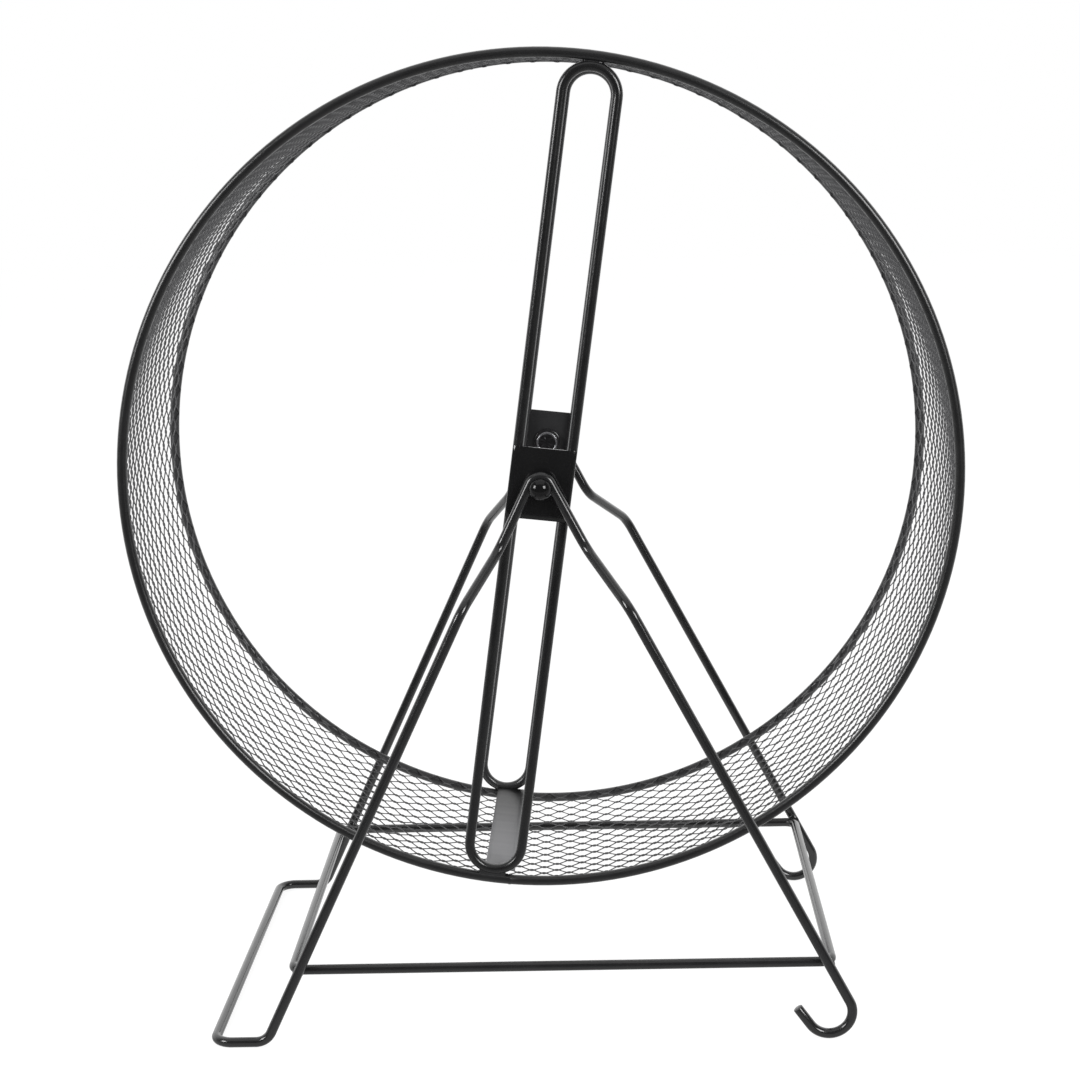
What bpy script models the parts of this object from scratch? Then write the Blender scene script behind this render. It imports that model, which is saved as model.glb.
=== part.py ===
"""Hamster wheel: a mesh drum between two wire rims, turning on a bent wire stand.

Metres, +Z up, +Y along the axle. The origin is on the floor, midway between the rims.
Distances called "out" are measured along the axle, away from the middle of the wheel.
"""

import math

import bmesh
import bpy
from mathutils import Matrix, Vector

MM = 0.001
DEG = math.pi / 180.0

# Fits
GAP = 0.3 * MM
RUNNING_CLEARANCE = 0.1 * MM
CHORD_TOLERANCE = 0.15 * MM
MERGE_DISTANCE = 0.001 * MM
MAX_ARC_STEP = 15.0 * DEG
SHARP_ANGLE = 40.0 * DEG
WIRE_SIDES = 8
TURNED_STEPS = 24

# Wheel
AXLE_HEIGHT = 185.0 * MM
RIM_RADIUS = 138.3 * MM
RIM_WIRE_RADIUS = 1.7 * MM
RIM_SPACING = 93.0 * MM

# Spoke loops, one long loop of wire across each rim
LOOP_LEAN = 8.4 * DEG
LOOP_HALF_WIDTH = 8.95 * MM
LOOP_WIRE_RADIUS = 1.7 * MM

# Mesh drum, a sheet of expanded metal rolled inside the rims
MESH_THICKNESS = 0.6 * MM
MESH_LONG_PITCH = 26.8 * MM
MESH_SHORT_PITCH = 23.5 * MM
KNUCKLE_FLAT = 3.2 * MM
KNUCKLE_TAPER = 0.9 * MM
KNUCKLE_WIDTH = 2.0 * MM
SEAM_SLIT = 0.6 * MM

# Seam strip over the drum's joint
STRIP_WIDTH = 9.0 * MM
STRIP_THICKNESS = 0.6 * MM
STRIP_TURN = 1.0 * DEG
STRIP_ARC_PARTS = 4

# Hub plates
PLATE_LENGTH = 24.0 * MM
PLATE_THICKNESS = 0.6 * MM
PLATE_CURL = 50.0 * DEG
PLATE_CURL_PARTS = 4
CUT_OVERRUN = 1.0 * MM

# Axle pins, and what turns or sits on them
PIN_RADIUS = 1.8 * MM
PIN_HEAD_RADIUS = 3.7 * MM
PIN_HEAD_HEIGHT = 2.8 * MM
PIN_HEAD_RIM = 0.6 * MM
PIN_HEAD_PARTS = 4
BUSH_WALL = 0.8 * MM
BUSH_FLANGE_RADIUS = 4.8 * MM
BUSH_FLANGE_THICKNESS = 1.0 * MM
BUSH_EDGE = 0.25 * MM
WASHER_RADIUS = 4.2 * MM
WASHER_THICKNESS = 0.8 * MM
CAP_RADIUS = 3.9 * MM
CAP_HEIGHT = 1.6 * MM
CAP_EDGE = 0.5 * MM
CAP_RIM_WIDTH = 0.9 * MM
CAP_DISH_DEPTH = 0.3 * MM
CAP_FLOOR = 0.5 * MM

# Stand wire: two bent frames joined by the foot
STAND_WIRE_RADIUS = 1.7 * MM
STAND_SPACING = 153.0 * MM
HIGH_KNEE_DROP = 20.5 * MM
HIGH_KNEE_LEFT = 14.2 * MM
HIGH_KNEE_RIGHT = 14.8 * MM
LOW_KNEE_DROP = 35.0 * MM
LOW_KNEE_LEFT = 25.4 * MM
LOW_KNEE_RIGHT = 28.2 * MM
LEFT_LEG_REACH = 96.1 * MM
RIGHT_LEG_REACH = 106.3 * MM
KNEE_BEND_RADIUS = 9.0 * MM
FOOT_REACH = 114.0 * MM
FOOT_BEND_RADIUS = 6.0 * MM
FOOT_CORNER_RADIUS = 6.0 * MM
HOOK_RADIUS = 7.7 * MM
HOOK_TURN = 172.0 * DEG
HOOK_TAIL = 7.5 * MM

# Base frame, a closed rectangle of wire inside the legs
BASE_WIRE_RADIUS = 1.7 * MM
BASE_HEIGHT = 26.0 * MM
BASE_OVERHANG = 2.1 * MM
BASE_CORNER_RADIUS = 4.0 * MM

# Finishes: colour, roughness, metallic
BLACK_COAT = ((0.018, 0.018, 0.020), 0.16, 0.0)
COATED_MESH = ((0.022, 0.022, 0.024), 0.28, 0.0)
BLACK_PLASTIC = ((0.012, 0.012, 0.013), 0.40, 0.0)
BLACK_OXIDE = ((0.030, 0.030, 0.032), 0.32, 0.8)

# Where the pieces of the hub lie, out along the axle
LOOP_PLANE = RIM_SPACING / 2
PLATE_INNER = LOOP_PLANE + LOOP_WIRE_RADIUS + GAP
PLATE_OUTER = PLATE_INNER + PLATE_THICKNESS
BUSH_OUTER_END = PLATE_OUTER + GAP
FLANGE_OUTER = PLATE_INNER - GAP
FLANGE_INNER = FLANGE_OUTER - BUSH_FLANGE_THICKNESS
CAP_OUTER = FLANGE_INNER - GAP
CAP_INNER = CAP_OUTER - CAP_HEIGHT
WASHER_INNER = BUSH_OUTER_END + GAP
WASHER_OUTER = WASHER_INNER + WASHER_THICKNESS
CROOK_PLANE = WASHER_OUTER + GAP + STAND_WIRE_RADIUS
HEAD_SEAT = CROOK_PLANE + STAND_WIRE_RADIUS + GAP
BUSH_BORE = PIN_RADIUS + RUNNING_CLEARANCE
BUSH_RADIUS = BUSH_BORE + BUSH_WALL

# Where the drum and the strip lie, as radii about the axle
MESH_OUTER = RIM_RADIUS - RIM_WIRE_RADIUS - GAP
MESH_INNER = MESH_OUTER - MESH_THICKNESS
STRIP_OUTER = MESH_INNER - GAP
STRIP_INNER = STRIP_OUTER - STRIP_THICKNESS


def clear_scene():
    for item in list(bpy.data.objects):
        bpy.data.objects.remove(item, do_unlink=True)


def add_empty(name, place):
    empty = bpy.data.objects.new(name, None)
    empty.location = place
    bpy.context.scene.collection.objects.link(empty)
    return empty


def coat(item, finish):
    colour, roughness, metallic = finish
    material = bpy.data.materials.new(item.name + "_finish")
    material.use_nodes = True
    shader = material.node_tree.nodes["Principled BSDF"]
    shader.inputs["Base Color"].default_value = (*colour, 1.0)
    shader.inputs["Roughness"].default_value = roughness
    shader.inputs["Metallic"].default_value = metallic
    item.data.materials.append(material)


def add_mesh(name, bm, parent, finish):
    """Turn a bmesh into a smooth shaded object with its own material."""
    bmesh.ops.recalc_face_normals(bm, faces=bm.faces)
    mesh = bpy.data.meshes.new(name)
    bm.to_mesh(mesh)
    bm.free()
    mesh.shade_smooth()
    mesh.set_sharp_from_angle(angle=SHARP_ANGLE)
    item = bpy.data.objects.new(name, mesh)
    item.parent = parent
    bpy.context.scene.collection.objects.link(item)
    coat(item, finish)
    return item


def arc_parts(radius, turn):
    """How many straight parts an arc needs to stay within the chord tolerance."""
    if radius <= CHORD_TOLERANCE:
        return 1
    step = 2.0 * math.acos(1.0 - CHORD_TOLERANCE / radius)
    return max(1, math.ceil(turn / min(step, MAX_ARC_STEP)))


def arc(centre, radius, start, turn):
    """Points of an arc in an upright plane across the axle; the turn may be negative."""
    parts = arc_parts(radius, abs(turn))
    points = []
    for part in range(parts + 1):
        angle = start + turn * part / parts
        points.append(centre + Vector((radius * math.cos(angle), 0.0, radius * math.sin(angle))))
    return points


def rounded_corner(before, corner, after, radius):
    """The arc that replaces a corner between two straight runs."""
    incoming = (corner - before).normalized()
    outgoing = (after - corner).normalized()
    turn = incoming.angle(outgoing)
    reach = radius * math.tan(turn / 2)
    inward = (outgoing - incoming).normalized()
    centre = corner + inward * (radius / math.cos(turn / 2))
    first = corner - incoming * reach - centre
    axis = incoming.cross(outgoing).normalized()
    parts = arc_parts(radius, turn)
    points = []
    for part in range(parts + 1):
        swing = turn * part / parts
        points.append(centre + first * math.cos(swing) + axis.cross(first) * math.sin(swing))
    return points


def path_tangents(path, closed):
    tangents = []
    last = len(path) - 1
    for index in range(len(path)):
        before = path[index - 1] if closed or index > 0 else path[index]
        after = path[(index + 1) % len(path)] if closed or index < last else path[index]
        ahead = (after - path[index]).normalized()
        behind = (path[index] - before).normalized()
        tangents.append((ahead + behind).normalized())
    return tangents


def path_normals(tangents, seed, up):
    """Carry one side direction along the path, both ways from the seed point."""
    normals = [None] * len(tangents)
    normals[seed] = (up - tangents[seed] * up.dot(tangents[seed])).normalized()
    for index in range(seed + 1, len(tangents)):
        carried = normals[index - 1]
        normals[index] = (carried - tangents[index] * carried.dot(tangents[index])).normalized()
    for index in range(seed - 1, -1, -1):
        carried = normals[index + 1]
        normals[index] = (carried - tangents[index] * carried.dot(tangents[index])).normalized()
    return normals


def wire_mesh(path, radius, closed, up, seed=0):
    """A wire along a path; its flats lie at the wire's true radius, one of them facing up."""
    bm = bmesh.new()
    tangents = path_tangents(path, closed)
    normals = path_normals(tangents, seed, up)
    corner_radius = radius / math.cos(math.pi / WIRE_SIDES)
    rings = []
    for point, tangent, normal in zip(path, tangents, normals):
        side = tangent.cross(normal)
        ring = []
        for corner in range(WIRE_SIDES):
            angle = 2 * math.pi * (corner + 0.5) / WIRE_SIDES
            offset = normal * math.cos(angle) + side * math.sin(angle)
            ring.append(bm.verts.new(point + offset * corner_radius))
        rings.append(ring)
    spans = len(rings) if closed else len(rings) - 1
    for span in range(spans):
        here = rings[span]
        there = rings[(span + 1) % len(rings)]
        for corner in range(WIRE_SIDES):
            beyond = (corner + 1) % WIRE_SIDES
            bm.faces.new((here[corner], here[beyond], there[beyond], there[corner]))
    if not closed:
        bm.faces.new(rings[0])
        bm.faces.new(rings[-1])
    return bm


def turned_mesh(profile):
    """Spin a profile of (radius, out) pairs about the axle, on the front side of the wheel."""
    bm = bmesh.new()
    corners = [bm.verts.new((radius, -out, 0.0)) for radius, out in profile]
    edges = []
    on_axis = profile[0][0] == 0.0 and profile[-1][0] == 0.0
    for index in range(len(corners) - 1 if on_axis else len(corners)):
        edges.append(bm.edges.new((corners[index], corners[(index + 1) % len(corners)])))
    bmesh.ops.spin(
        bm,
        geom=corners + edges,
        axis=(0.0, 1.0, 0.0),
        cent=(0.0, 0.0, 0.0),
        angle=2 * math.pi,
        steps=TURNED_STEPS,
        use_merge=True,
    )
    bmesh.ops.remove_doubles(bm, verts=bm.verts, dist=MERGE_DISTANCE)
    return bm


def add_turned_pair(name, profile, parent, finish):
    """A turned piece at the front hub, and its copy turned round for the rear hub."""
    front = add_mesh("front_" + name, turned_mesh(profile), parent, finish)
    rear = bpy.data.objects.new("rear_" + name, front.data.copy())
    rear.parent = parent
    rear.rotation_euler.z = math.pi
    bpy.context.scene.collection.objects.link(rear)


def add_rims(wheel):
    centre = Vector((0.0, 0.0, 0.0))
    for name, out in (("front_ring", -LOOP_PLANE), ("rear_ring", LOOP_PLANE)):
        path = arc(centre, RIM_RADIUS, 0.0, 2 * math.pi)[:-1]
        bm = wire_mesh(path, RIM_WIRE_RADIUS, True, Vector((1.0, 0.0, 0.0)))
        rim = add_mesh(name, bm, wheel, BLACK_COAT)
        rim.location.y = out


def add_spoke_loops(wheel):
    """Long loops whose two round ends seat inside the rim."""
    crown = MESH_OUTER - LOOP_WIRE_RADIUS
    bend_centre = Vector((0.0, 0.0, crown - LOOP_HALF_WIDTH))
    path = arc(bend_centre, LOOP_HALF_WIDTH, 0.0, math.pi)
    path += arc(-bend_centre, LOOP_HALF_WIDTH, math.pi, math.pi)
    for name, out in (("front_spoke_loop", -LOOP_PLANE), ("rear_spoke_loop", LOOP_PLANE)):
        bm = wire_mesh(path, LOOP_WIRE_RADIUS, True, Vector((1.0, 0.0, 0.0)))
        loop = add_mesh(name, bm, wheel, BLACK_COAT)
        loop.location.y = out
        loop.rotation_euler.y = LOOP_LEAN


def knuckle_outline(column, row, last_column):
    """Flat outline of one knuckle; those on the sheet's two cut ends are halves."""
    centre_x = column * MESH_LONG_PITCH / 2
    half_flat = KNUCKLE_FLAT / 2
    tip = half_flat + KNUCKLE_TAPER
    high = KNUCKLE_WIDTH / 2
    left = {"left": (-tip, 0.0), "top_left": (-half_flat, high), "low_left": (-half_flat, -high)}
    right = {"right": (tip, 0.0), "top_right": (half_flat, high), "low_right": (half_flat, -high)}
    if column == 0:
        left = {"left": (SEAM_SLIT / 2, 0.0), "top_left": (SEAM_SLIT / 2, high)}
        left["low_left"] = (SEAM_SLIT / 2, -high)
    if column == last_column:
        right = {"right": (-SEAM_SLIT / 2, 0.0), "top_right": (-SEAM_SLIT / 2, high)}
        right["low_right"] = (-SEAM_SLIT / 2, -high)
    return {key: (centre_x + x, y) for key, (x, y) in {**left, **right}.items()}


def mesh_counts():
    """Half columns round the drum and half rows across it, both even at the seam and ends."""
    pairs = max(2, round(math.pi * MESH_INNER / MESH_LONG_PITCH))
    knuckle_span = RIM_SPACING + 2 * RIM_WIRE_RADIUS - KNUCKLE_WIDTH
    return 4 * pairs, 2 * max(1, round(knuckle_span / MESH_SHORT_PITCH)), knuckle_span


def add_mesh_drum(wheel):
    """Expanded metal: knuckles joined by slanting strands, rolled until its ends meet."""
    last_column, last_row, knuckle_span = mesh_counts()
    flat_length = last_column * MESH_LONG_PITCH / 2
    seam_angle = -math.pi / 2 - LOOP_LEAN
    bm = bmesh.new()
    knuckles = {}

    def rolled(flat_x, flat_y):
        angle = seam_angle + 2 * math.pi * flat_x / flat_length
        return (MESH_INNER * math.cos(angle), flat_y, MESH_INNER * math.sin(angle))

    for column in range(last_column + 1):
        for row in range(last_row + 1):
            if (column + row) % 2 == 0:
                continue
            centre_y = knuckle_span * (row / last_row - 0.5)
            outline = knuckle_outline(column, row, last_column)
            knuckles[column, row] = {
                key: bm.verts.new(rolled(x, centre_y + y)) for key, (x, y) in outline.items()
            }
    for (column, row), knuckle in knuckles.items():
        bm.faces.new([knuckle[key] for key in ("left", "right", "top_right", "top_left")])
        bm.faces.new([knuckle[key] for key in ("left", "low_left", "low_right", "right")])
        above = knuckles.get((column + 1, row + 1))
        below = knuckles.get((column + 1, row - 1))
        if above:
            bm.faces.new((knuckle["top_right"], knuckle["right"], above["low_left"], above["left"]))
        if below:
            bm.faces.new((knuckle["right"], knuckle["low_right"], below["left"], below["top_left"]))
    thicken_outward(bm)
    add_mesh("mesh_drum", bm, wheel, COATED_MESH)


def thicken_outward(bm):
    """Give the rolled sheet its thickness, away from the axle."""
    extruded = bmesh.ops.extrude_face_region(bm, geom=bm.faces[:])
    growth = MESH_OUTER / MESH_INNER
    for vert in extruded["geom"]:
        if isinstance(vert, bmesh.types.BMVert):
            vert.co.x *= growth
            vert.co.z *= growth


def add_seam_strip(wheel):
    """A flat band inside the drum that covers the sheet's joint from rim to rim."""
    half_length = LOOP_PLANE - max(RIM_WIRE_RADIUS, LOOP_WIRE_RADIUS) - GAP
    half_turn = STRIP_WIDTH / (2 * STRIP_INNER)
    centre_angle = -math.pi / 2 - LOOP_LEAN + STRIP_TURN
    bm = bmesh.new()
    outline = []
    for radius, step in ((STRIP_INNER, 1), (STRIP_OUTER, -1)):
        for part in range(STRIP_ARC_PARTS + 1)[::step]:
            angle = centre_angle + half_turn * (2 * part / STRIP_ARC_PARTS - 1)
            outline.append(bm.verts.new((radius * math.cos(angle), -half_length, radius * math.sin(angle))))
    end = bm.faces.new(outline)
    extruded = bmesh.ops.extrude_face_region(bm, geom=[end])
    moved = [item for item in extruded["geom"] if isinstance(item, bmesh.types.BMVert)]
    bmesh.ops.translate(bm, verts=moved, vec=(0.0, 2 * half_length, 0.0))
    add_mesh("seam_strip", bm, wheel, COATED_MESH)


def plate_section(side):
    """Cross-section of a plate, seen along the loop: a flat web with edges curled over both wires."""
    inner_radius = LOOP_WIRE_RADIUS + GAP
    points = []
    for radius, step in ((inner_radius, 1), (inner_radius + PLATE_THICKNESS, -1)):
        row = []
        for wire, turn in ((-1, 1), (1, -1)):
            for part in range(PLATE_CURL_PARTS + 1)[::turn]:
                swing = PLATE_CURL * (1 - part / PLATE_CURL_PARTS)
                x = wire * (LOOP_HALF_WIDTH + radius * math.sin(swing))
                row.append((x, side * (LOOP_PLANE + radius * math.cos(swing))))
        points += row[::step]
    return points


def add_hub_plates(wheel):
    """Sheet plates across the outer side of each loop, with a hole for the bush."""
    half_length = PLATE_LENGTH / 2
    for name, side in (("front_hub_plate", -1), ("rear_hub_plate", 1)):
        bm = bmesh.new()
        end = bm.faces.new([bm.verts.new((x, y, -half_length)) for x, y in plate_section(side)])
        extruded = bmesh.ops.extrude_face_region(bm, geom=[end])
        moved = [item for item in extruded["geom"] if isinstance(item, bmesh.types.BMVert)]
        bmesh.ops.translate(bm, verts=moved, vec=(0.0, 0.0, PLATE_LENGTH))
        plate = add_mesh(name, bm, wheel, BLACK_COAT)
        plate.rotation_euler.y = LOOP_LEAN
        hole = add_hole_cutter(name + "_hole", wheel, side * (PLATE_INNER + PLATE_OUTER) / 2)
        cut = plate.modifiers.new("bush hole", "BOOLEAN")
        cut.operation = "DIFFERENCE"
        cut.solver = "EXACT"
        cut.object = hole


def add_hole_cutter(name, parent, place):
    bm = bmesh.new()
    reach = PLATE_THICKNESS / 2 + CUT_OVERRUN
    radius = BUSH_RADIUS + GAP
    circle = bmesh.ops.create_circle(bm, cap_ends=True, segments=TURNED_STEPS, radius=radius)
    bmesh.ops.rotate(bm, verts=circle["verts"], cent=(0.0, 0.0, 0.0), matrix=Matrix.Rotation(math.pi / 2, 3, "X"))
    bmesh.ops.translate(bm, verts=bm.verts, vec=(0.0, place - reach, 0.0))
    extruded = bmesh.ops.extrude_face_region(bm, geom=bm.faces[:])
    moved = [item for item in extruded["geom"] if isinstance(item, bmesh.types.BMVert)]
    bmesh.ops.translate(bm, verts=moved, vec=(0.0, 2 * reach, 0.0))
    cutter = add_mesh(name, bm, parent, BLACK_COAT)
    cutter.hide_render = True
    cutter.display_type = "WIRE"
    return cutter


def add_hub_bushes(wheel):
    """Flanged sleeves pressed into the plates from inside; the wheel turns on them."""
    profile = [
        (BUSH_BORE, BUSH_OUTER_END),
        (BUSH_BORE, FLANGE_INNER),
        (BUSH_FLANGE_RADIUS - BUSH_EDGE, FLANGE_INNER),
        (BUSH_FLANGE_RADIUS, FLANGE_INNER + BUSH_EDGE),
        (BUSH_FLANGE_RADIUS, FLANGE_OUTER),
        (BUSH_RADIUS, FLANGE_OUTER),
        (BUSH_RADIUS, BUSH_OUTER_END),
    ]
    add_turned_pair("hub_bush", profile, wheel, BLACK_PLASTIC)


def add_washers(axle):
    profile = [
        (BUSH_BORE, WASHER_INNER),
        (WASHER_RADIUS, WASHER_INNER),
        (WASHER_RADIUS, WASHER_OUTER),
        (BUSH_BORE, WASHER_OUTER),
    ]
    add_turned_pair("thrust_washer", profile, axle, BLACK_OXIDE)


def add_axle_pins(axle):
    """Rivets with a domed head outside the stand wire's crook and a plain shank inside."""
    profile = [(0.0, CAP_INNER + CAP_FLOOR + CAP_DISH_DEPTH + GAP)]
    profile.append((PIN_RADIUS, CAP_INNER + CAP_FLOOR + CAP_DISH_DEPTH + GAP))
    profile.append((PIN_RADIUS, HEAD_SEAT))
    profile.append((PIN_HEAD_RADIUS, HEAD_SEAT))
    dome_height = PIN_HEAD_HEIGHT - PIN_HEAD_RIM
    for part in range(PIN_HEAD_PARTS):
        angle = math.pi / 2 * part / PIN_HEAD_PARTS
        out = HEAD_SEAT + PIN_HEAD_RIM + dome_height * math.sin(angle)
        profile.append((PIN_HEAD_RADIUS * math.cos(angle), out))
    profile.append((0.0, HEAD_SEAT + PIN_HEAD_HEIGHT))
    add_turned_pair("axle_pin", profile, axle, BLACK_COAT)


def add_pin_caps(axle):
    """Push-on caps with a dished face and a blind bore for the pin's inner end."""
    bore = PIN_RADIUS + GAP
    bore_floor = CAP_INNER + CAP_DISH_DEPTH + CAP_FLOOR
    dish_radius = CAP_RADIUS - CAP_RIM_WIDTH
    profile = [
        (0.0, bore_floor),
        (bore, bore_floor),
        (bore, CAP_OUTER),
        (CAP_RADIUS, CAP_OUTER),
        (CAP_RADIUS, CAP_INNER + CAP_EDGE),
        (CAP_RADIUS - CAP_EDGE, CAP_INNER),
        (dish_radius, CAP_INNER),
        (dish_radius, CAP_INNER + CAP_DISH_DEPTH),
        (0.0, CAP_INNER + CAP_DISH_DEPTH),
    ]
    add_turned_pair("pin_cap", profile, axle, BLACK_OXIDE)


def leg_point(knee_x, reach, height):
    """Where a lower leg's centre line is at a height: its distance sideways from the axle."""
    knee_height = AXLE_HEIGHT - LOW_KNEE_DROP
    share = (knee_height - height) / (knee_height - STAND_WIRE_RADIUS)
    return knee_x + (reach - knee_x) * share


def crook_arc(out):
    """The tight bend over the pin, tangent to both upper legs, from right to left."""
    radius = PIN_RADIUS + GAP + STAND_WIRE_RADIUS
    starts = []
    for knee_x in (HIGH_KNEE_RIGHT, HIGH_KNEE_LEFT):
        distance = math.hypot(knee_x, HIGH_KNEE_DROP)
        starts.append(math.acos(radius / distance) - math.atan2(HIGH_KNEE_DROP, knee_x))
    right, left = starts
    return arc(Vector((0.0, out, AXLE_HEIGHT)), radius, right, math.pi - right - left)


def hook_points(out):
    """The open hook at the foot of a right leg, from its free end to the leg."""
    rise = AXLE_HEIGHT - LOW_KNEE_DROP - STAND_WIRE_RADIUS
    lean = math.atan2(RIGHT_LEG_REACH - LOW_KNEE_RIGHT, rise)
    centre_z = STAND_WIRE_RADIUS + HOOK_RADIUS
    centre_x = leg_point(LOW_KNEE_RIGHT, RIGHT_LEG_REACH, centre_z) - HOOK_RADIUS / math.cos(lean)
    bend = arc(Vector((centre_x, out, centre_z)), HOOK_RADIUS, lean, -HOOK_TURN)[::-1]
    heading = lean - HOOK_TURN - math.pi / 2
    tail = Vector((math.cos(heading), 0.0, math.sin(heading))) * HOOK_TAIL
    return [bend[0] + tail] + bend


def side_path(sign):
    """One frame of the stand, from its hook's free end to the middle of the foot wire."""
    outer = sign * STAND_SPACING / 2
    inner = sign * CROOK_PLANE
    high = AXLE_HEIGHT - HIGH_KNEE_DROP
    low = AXLE_HEIGHT - LOW_KNEE_DROP
    hook = hook_points(outer)
    crook = crook_arc(inner)
    low_right = Vector((LOW_KNEE_RIGHT, outer, low))
    high_right = Vector((HIGH_KNEE_RIGHT, inner, high))
    high_left = Vector((-HIGH_KNEE_LEFT, inner, high))
    low_left = Vector((-LOW_KNEE_LEFT, outer, low))
    heel = Vector((-LEFT_LEG_REACH, outer, STAND_WIRE_RADIUS))
    toe = Vector((-FOOT_REACH, outer, STAND_WIRE_RADIUS))
    middle = Vector((-FOOT_REACH, 0.0, STAND_WIRE_RADIUS))
    path = hook
    path += rounded_corner(hook[-1], low_right, high_right, KNEE_BEND_RADIUS)
    path += rounded_corner(low_right, high_right, crook[0], KNEE_BEND_RADIUS)
    path += crook
    path += rounded_corner(crook[-1], high_left, low_left, KNEE_BEND_RADIUS)
    path += rounded_corner(high_left, low_left, heel, KNEE_BEND_RADIUS)
    path += rounded_corner(low_left, heel, toe, FOOT_BEND_RADIUS)
    path += rounded_corner(heel, toe, middle, FOOT_CORNER_RADIUS)
    return path


def add_stand_wire():
    front = side_path(-1)
    rear = side_path(1)
    path = front + rear[::-1]
    bm = wire_mesh(path, STAND_WIRE_RADIUS, False, Vector((0.0, 0.0, 1.0)), seed=len(front) - 1)
    return add_mesh("stand_wire", bm, None, BLACK_COAT)


def add_base_frame():
    """The welded rectangle, just inside the legs and a little longer than their spread."""
    left = -leg_point(LOW_KNEE_LEFT, LEFT_LEG_REACH, BASE_HEIGHT) - BASE_OVERHANG
    right = leg_point(LOW_KNEE_RIGHT, RIGHT_LEG_REACH, BASE_HEIGHT) + BASE_OVERHANG
    out = STAND_SPACING / 2 - STAND_WIRE_RADIUS - GAP - BASE_WIRE_RADIUS
    corners = [
        Vector((left, -out, BASE_HEIGHT)),
        Vector((right, -out, BASE_HEIGHT)),
        Vector((right, out, BASE_HEIGHT)),
        Vector((left, out, BASE_HEIGHT)),
    ]
    path = []
    for index, corner in enumerate(corners):
        after = corners[(index + 1) % len(corners)]
        path += rounded_corner(corners[index - 1], corner, after, BASE_CORNER_RADIUS)
    bm = wire_mesh(path, BASE_WIRE_RADIUS, True, Vector((0.0, 0.0, 1.0)))
    return add_mesh("base_frame", bm, None, BLACK_COAT)


def build():
    clear_scene()
    wheel = add_empty("wheel_axis", (0.0, 0.0, AXLE_HEIGHT))
    axle = add_empty("stand_axis", (0.0, 0.0, AXLE_HEIGHT))
    add_rims(wheel)
    add_spoke_loops(wheel)
    add_mesh_drum(wheel)
    add_seam_strip(wheel)
    add_hub_plates(wheel)
    add_hub_bushes(wheel)
    add_stand_wire()
    add_base_frame()
    add_axle_pins(axle)
    add_washers(axle)
    add_pin_caps(axle)


build()
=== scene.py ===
"""Wire hamster wheel: the finished pieces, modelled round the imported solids.

Metres, +Z up, +Y along the axle. The origin is on the floor, midway between the rims.
"Out" is the distance along the axle from the middle of the wheel.
"""

import math

import bpy
from mathutils import Matrix, Vector


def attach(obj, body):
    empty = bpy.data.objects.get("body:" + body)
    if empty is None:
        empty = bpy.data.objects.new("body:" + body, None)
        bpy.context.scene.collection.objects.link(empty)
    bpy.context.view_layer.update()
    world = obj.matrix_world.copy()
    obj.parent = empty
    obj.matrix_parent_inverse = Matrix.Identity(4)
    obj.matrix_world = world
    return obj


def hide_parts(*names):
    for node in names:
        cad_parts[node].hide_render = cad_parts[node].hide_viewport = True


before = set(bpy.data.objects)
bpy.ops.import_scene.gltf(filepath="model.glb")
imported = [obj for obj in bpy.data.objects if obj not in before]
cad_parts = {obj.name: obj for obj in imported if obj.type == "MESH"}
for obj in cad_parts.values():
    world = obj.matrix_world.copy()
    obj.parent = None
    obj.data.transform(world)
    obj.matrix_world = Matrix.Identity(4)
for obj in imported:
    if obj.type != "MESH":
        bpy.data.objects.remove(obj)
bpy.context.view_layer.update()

MM = 0.001
DEG = math.pi / 180.0
FRONT = -1
REAR = 1
ENDS = ((FRONT, "front"), (REAR, "rear"))

# Turning as seen from the front
ANTICLOCKWISE = Vector((0.0, -1.0, 0.0))
CLOCKWISE = Vector((0.0, 1.0, 0.0))

# Modelling
MERGE = 0.01 * MM
NEAR = 0.1 * MM
SMOOTH_ANGLE = 35.0 * DEG
BEND_STEP = 5.0 * DEG

# Wheel
AXLE = Vector((0.0, 0.0, 185.0 * MM))
RIM_RADIUS = 138.3 * MM
RIM_OUT = 46.5 * MM
RIM_STEP = 1.8 * DEG
WIRE_RADIUS = 1.7 * MM
WIRE_SIDES = 24
CUT_EDGE = 0.22 * MM
LEAN = 8.4 * DEG
LEANED = Matrix.Rotation(LEAN, 3, "Y")
SHEET_OUTER = 136.3 * MM

# Butt welds: where each rim's lies, how long they are and how far they stand proud
RIM_JOINT = {FRONT: 264.2 * DEG, REAR: 100.0 * DEG}
RIM_WELD_TURN = 0.25 * DEG
RIM_WELD_SWELL = (1.07, 1.05, 1.07)
LOOP_WELD_PLACE = 0.55
LOOP_WELD_LENGTH = 0.4 * MM
LOOP_WELD_SWELL = (1.06, 1.06, 1.06)
WELD_REACH = WIRE_RADIUS + 0.05 * MM

# Spoke loops, and the half sizes of the weld metal along, out and up
LOOP_HALF_WIDTH = 8.95 * MM
LOOP_INTO_WELD = 0.5 * MM
LOOP_CROWN = SHEET_OUTER - WIRE_RADIUS + LOOP_INTO_WELD
TOP_WELD = Vector((3.6, 1.2, 0.6)) * MM
# The front foot weld is a broad tab that fills the dark wedge under the loop's foot. It is partly weld metal
# and partly painted shade, standing in for the shadow there.
FOOT_WELD = {FRONT: Vector((4.6, 1.2, 1.5)) * MM, REAR: Vector((3.4, 1.3, 0.9)) * MM}
LEG_WELD = Vector((2.6, 0.75, 1.9)) * MM
TAB_EDGE = 0.45 * MM

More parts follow.
